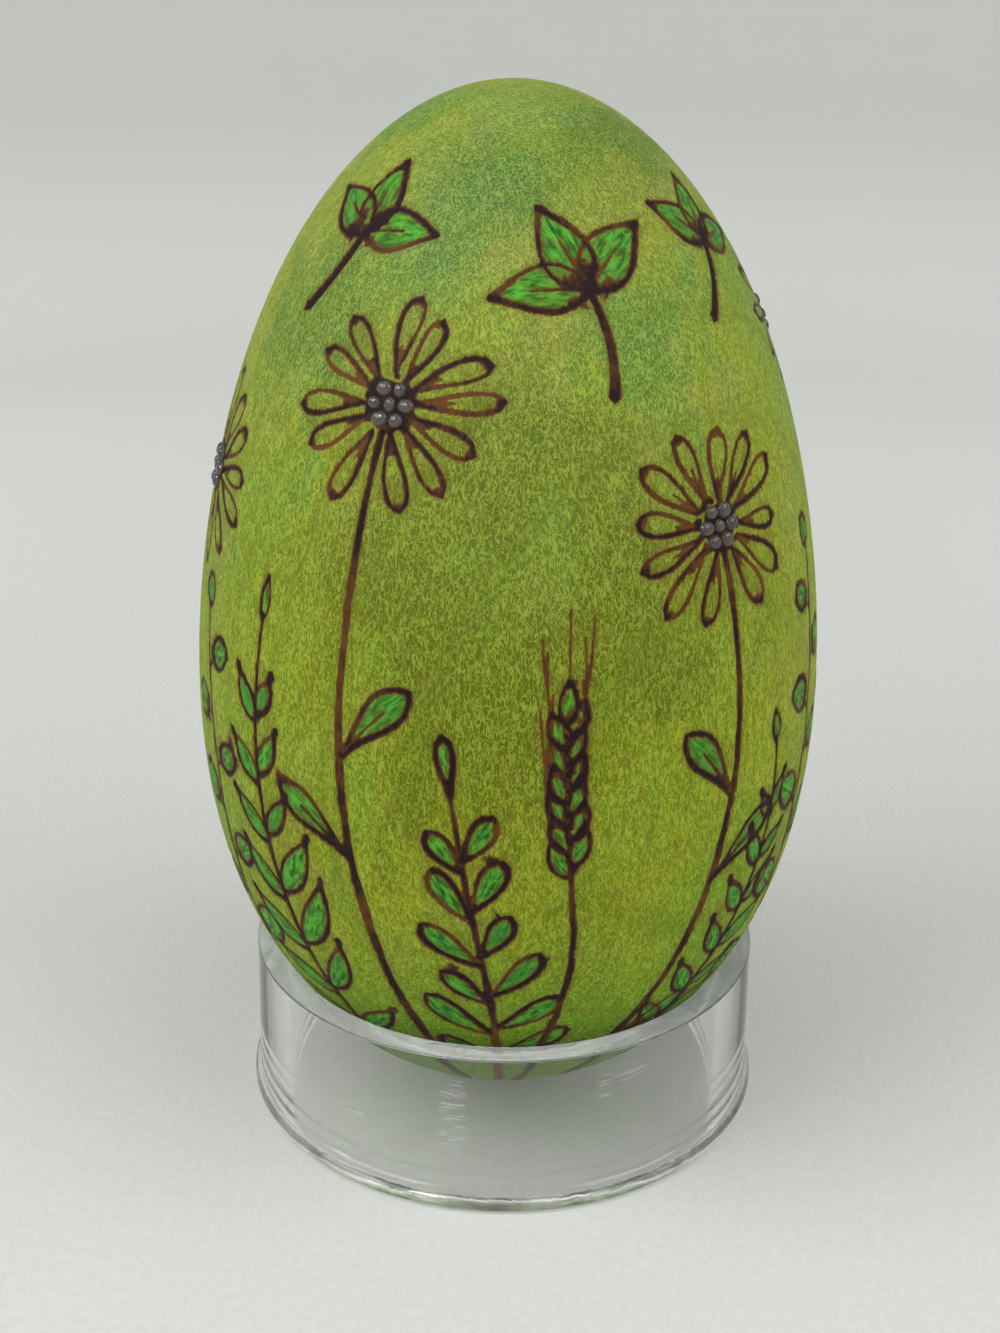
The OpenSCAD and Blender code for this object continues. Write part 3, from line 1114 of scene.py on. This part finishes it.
def make_egg_material():
    m = Shade("stained_wood_and_painted_light")
    even = m.place()
    grain = m.place(GRAIN)
    height = m.split(even)["Z"]
    fleck = m.math("MAXIMUM", threads(m, 2.6, 0.065, (0, 0, 0)), threads(m, 3.5, 0.055, (9, 4, 7)))
    colour = grained(m, stain_and_painted_light(m, even, height), fleck, height)
    colour = burnt(m, pencilled(m, colour, grain), grain)
    return m.finish(m.node("BsdfPrincipled", Base_Color=colour, Roughness=0.55, IOR=1.45,
                           Specular_IOR_Level=0.1, Normal=m.bump(fleck, 0.25, 0.06)))


# The share of the lamps' light that each face of the ring and of the dots lets through
RING_OPEN = 0.36
DOT_OPEN = 0.4

# Each face of the ring: name, two tints, roughness, and how clear it is at least and at most
RING_FACES = (
    ("clear_acrylic", (0.97, 0.98, 0.97, 1), (0.99, 0.995, 0.99, 1), 0.02, (1.0, 1.0)),
    ("clear_acrylic_rim", (0.86, 0.89, 0.89, 1), (0.94, 0.96, 0.95, 1), 0.08, (0.82, 0.96)),
    ("clear_acrylic_foot", (0.9, 0.92, 0.84, 1), (0.98, 0.99, 0.96, 1), 0.05, (0.8, 0.95)),
)
ACRYLIC_IOR, PAINT_IOR, DOT_CLEAR = 1.49, 1.5, 0.98
DOT_LOW, DOT_HIGH = srgb(228, 230, 224), srgb(250, 251, 248)
BED_LOW, BED_HIGH = srgb(60, 36, 22), srgb(20, 12, 12)

# Rubbed places on the ring's front: middle across and up, half width and half height, in mm
SCRATCH_DEPTH = 0.2
SCRATCHED_FRONT = (-15.0, -20.0)
SCRATCHES = (
    ((-4.5, 9.8), (1.5, 4.4)),
    ((11.2, 12.8), (2.6, 1.5)),
    ((-13.5, 6.0), (1.2, 2.0)),
)


def scratched(m):
    """How rubbed the ring's front is at each point, in short level strokes, from 0 to 1."""
    across, depth, height = m.split(m.place())
    total = None
    for middle, half in SCRATCHES:
        sides = [m.ramp(m.apart(value, centre), reach, reach * 0.5)
                 for value, centre, reach in zip((across, height), middle, half)]
        patch = m.math("MULTIPLY", *sides)
        total = patch if total is None else m.math("MAXIMUM", total, patch)
    front = m.ramp(depth, *SCRATCHED_FRONT)
    stroke = m.noise(m.place((0.5, 0.1, 4.4)), detail=1.0, warp=0.15)
    return m.math("MULTIPLY", m.math("MULTIPLY", total, front), m.ramp(stroke, 0.52, 0.66))


def make_ring_material(name, low, high, roughness, clear):
    """Clear acrylic, faintly hazy. Where it is evenly clear it has scratches, and elsewhere faint waves."""
    m = Shade(name)
    haze = m.noise(m.place((1, 1, 0.4)), scale=0.35, detail=3.0, rough=0.6, warp=0.6)
    tint = m.mix(m.ramp(haze, 0.35, 0.65), low, high)
    shader = m.node("BsdfPrincipled", Base_Color=tint, Roughness=roughness, IOR=ACRYLIC_IOR)
    if clear[0] == clear[1]:
        passing = m.math("MULTIPLY_ADD", scratched(m), -SCRATCH_DEPTH, clear[0])
    else:
        uneven = m.noise(m.place((1, 1, 0.5), (3, 8, 1)), scale=0.16, rough=0.6, warp=0.8)
        passing = m.ramp(uneven, 0.4, 0.6, *clear)
        m.put(shader.inputs["Normal"], m.bump(m.noise(m.place(), scale=1.1), 0.5, 0.07))
    m.put(shader.inputs["Transmission Weight"], passing)
    return m.finish(m.let_light_through(shader, RING_OPEN))


def make_dot_material():
    m = Shade("clear_gloss_paint")
    colour = m.mix(m.noise(m.place(), scale=1.2), DOT_LOW, DOT_HIGH)
    shader = m.node("BsdfPrincipled", Base_Color=colour, Roughness=0.05, IOR=PAINT_IOR,
                    Transmission_Weight=DOT_CLEAR)
    return m.finish(m.let_light_through(shader, DOT_OPEN))


def make_dot_bed_material():
    """The burnt wood that shows through the clear dots."""
    m = Shade("burnt_wood_under_dots")
    char = m.noise(m.place(GRAIN), scale=2.2, rough=0.6, warp=0.4)
    colour = m.mix(m.ramp(char, 0.35, 0.65), BED_LOW, BED_HIGH)
    return m.finish(m.node("BsdfPrincipled", Base_Color=colour, Roughness=0.7))


egg.data.materials.append(make_egg_material())
for details in RING_FACES:
    ring.data.materials.append(make_ring_material(*details))
for material in (make_dot_material(), make_dot_bed_material()):
    for piece in dots:
        piece.data.materials.append(material)


# The round floor that sweeps up into a wall on all sides
FLOOR_R = 330.0
FLOOR_ROWS = 6
SWEEP_R = 190.0
SWEEP_ROWS = 24
WALL_TOP = 640.0
STAGE_TURNS = 96
STAGE_DROP = 0.02
# Far out the paper is painted paler, painted light that makes up for the lamps' falloff; up the wall it
# goes back to its near colour, painted shade that darkens the top of the view.
PAPER_PAINTED_LIGHT_REACH, PAPER_PAINTED_SHADE_RISE = (90.0, 290.0), (4.0, 60.0)
PAPER_LOW, PAPER_HIGH, PAPER_FAR_PAINTED_LIGHT, PAPER_UP_PAINTED_SHADE = (
    srgb(207, 208, 205), srgb(213, 214, 211), srgb(225, 226, 223), srgb(207, 208, 205))


def make_paper_material():
    m = Shade("pale_paper")
    tooth = m.noise(m.place(), scale=1.2, detail=3.0, rough=0.6)
    paper = m.mix(m.ramp(tooth, 0.3, 0.7), PAPER_LOW, PAPER_HIGH)
    out = m.work_out("VectorMath", "LENGTH", (m.place((1, 1, 0)),))
    # Painted light: the floor paler further out.
    paper = m.mix(m.ramp(out, *PAPER_PAINTED_LIGHT_REACH), paper, PAPER_FAR_PAINTED_LIGHT)
    # Painted shade: the wall back at the near, darker colour.
    paper = m.mix(m.ramp(m.split(m.place())["Z"], *PAPER_PAINTED_SHADE_RISE), paper, PAPER_UP_PAINTED_SHADE)
    return m.finish(m.node("BsdfPrincipled", Base_Color=paper, Roughness=0.9, Specular_IOR_Level=0.2))


def make_stage():
    outline = [(0.0, 0.0)] + [(FLOOR_R * k / FLOOR_ROWS, 0.0) for k in range(1, FLOOR_ROWS + 1)]
    outline += [(FLOOR_R + SWEEP_R * math.sin(a), SWEEP_R * (1 - math.cos(a)))
                for a in np.linspace(0, QUARTER_TURN, SWEEP_ROWS + 1)[1:]]
    outline.append((FLOOR_R + SWEEP_R, WALL_TOP))
    points = [(0.0, 0.0, -STAGE_DROP * MM)]
    for r, z in outline[1:]:
        for k in range(STAGE_TURNS):
            a = TURN * k / STAGE_TURNS
            points.append((r * math.sin(a) * MM, -r * math.cos(a) * MM, (z - STAGE_DROP) * MM))
    mesh = bpy.data.meshes.new("paper_cove")
    mesh.from_pydata(points, [], fan_faces(len(outline) - 1, STAGE_TURNS))
    mesh.shade_smooth()
    mesh.materials.append(make_paper_material())
    piece = add_piece("paper_cove", mesh)
    piece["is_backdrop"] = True


make_stage()


# Light: each lamp's name, place, width and height in mm, watts, and whether it shows in gloss alone
LIGHT_TARGET = (0.0, 0.0, 45.0)
LAMPS = (
    ("left_window", (-348, -181, 386), 520, 300, 1.5, False),
    ("right_window", (353, -172, 386), 520, 300, 1.08, False),
    ("overhead", (0, -120, 600), 520, 520, 0.67, False),
    ("glint", (-230, -330, 420), 105, 80, 0.8, True),
)
ROOM_COLOUR = (0.95, 0.97, 1.0, 1)
ROOM_STRENGTH = 0.365


def frame_at(axes, place):
    """The matrix of an object at a place in mm, with its own x, y and z along the given axes."""
    rows = [[axis[i] for axis in axes] + [place[i] * MM] for i in range(3)]
    return Matrix(rows + [[0, 0, 0, 1]])


def add_lamp(name, place, width, height, watts, glints_only):
    """A soft lamp that faces the egg. One for glints lights nothing matt."""
    lamp = bpy.data.lights.new(name, "AREA")
    lamp.shape = "ELLIPSE"
    lamp.size = width * MM
    lamp.size_y = height * MM
    lamp.energy = watts
    piece = add_piece(name, lamp)
    piece.visible_diffuse = piece.visible_transmission = not glints_only
    ahead = np.array(LIGHT_TARGET) - place
    ahead /= np.linalg.norm(ahead)
    piece.matrix_world = frame_at((*square_to(ahead), -ahead), place)


for details in LAMPS:
    add_lamp(*details)

world = bpy.data.worlds.new("room")
bpy.context.scene.world = world
world.use_nodes = True
room = world.node_tree.nodes["Background"]
room.inputs["Color"].default_value = ROOM_COLOUR
room.inputs["Strength"].default_value = ROOM_STRENGTH

# The camera, at the picture's viewing angle
PHOTO_H = 1333
FOCAL_PX = 1850
CAMERA_PLACE = (0.0, -168.8, 114.37)
CAMERA_PITCH, CAMERA_YAW, CAMERA_ROLL = 22.236, -0.255, 0.664
SENSOR = 36
NEAREST_SEEN = 5


def make_camera():
    pitch, yaw, roll = rad(CAMERA_PITCH), rad(CAMERA_YAW), rad(CAMERA_ROLL)
    ahead = np.array([math.sin(yaw) * math.cos(pitch), math.cos(yaw) * math.cos(pitch), -math.sin(pitch)])
    right, up = square_to(ahead)
    side = math.cos(roll) * right + math.sin(roll) * up
    lens = bpy.data.cameras.new("camera")
    lens.lens = FOCAL_PX / PHOTO_H * SENSOR
    lens.sensor_width = SENSOR
    lens.clip_start = NEAREST_SEEN * MM
    camera = add_piece("camera", lens)
    camera.matrix_world = frame_at((side, np.cross(side, ahead), -ahead), CAMERA_PLACE)
    bpy.context.scene.camera = camera


make_camera()
bpy.context.scene.view_settings.view_transform = "Standard"


def plain(box):
    return [[float(c) for c in corner] for corner in box]


{"cad": plain(cad_box), "visual": plain(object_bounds())}
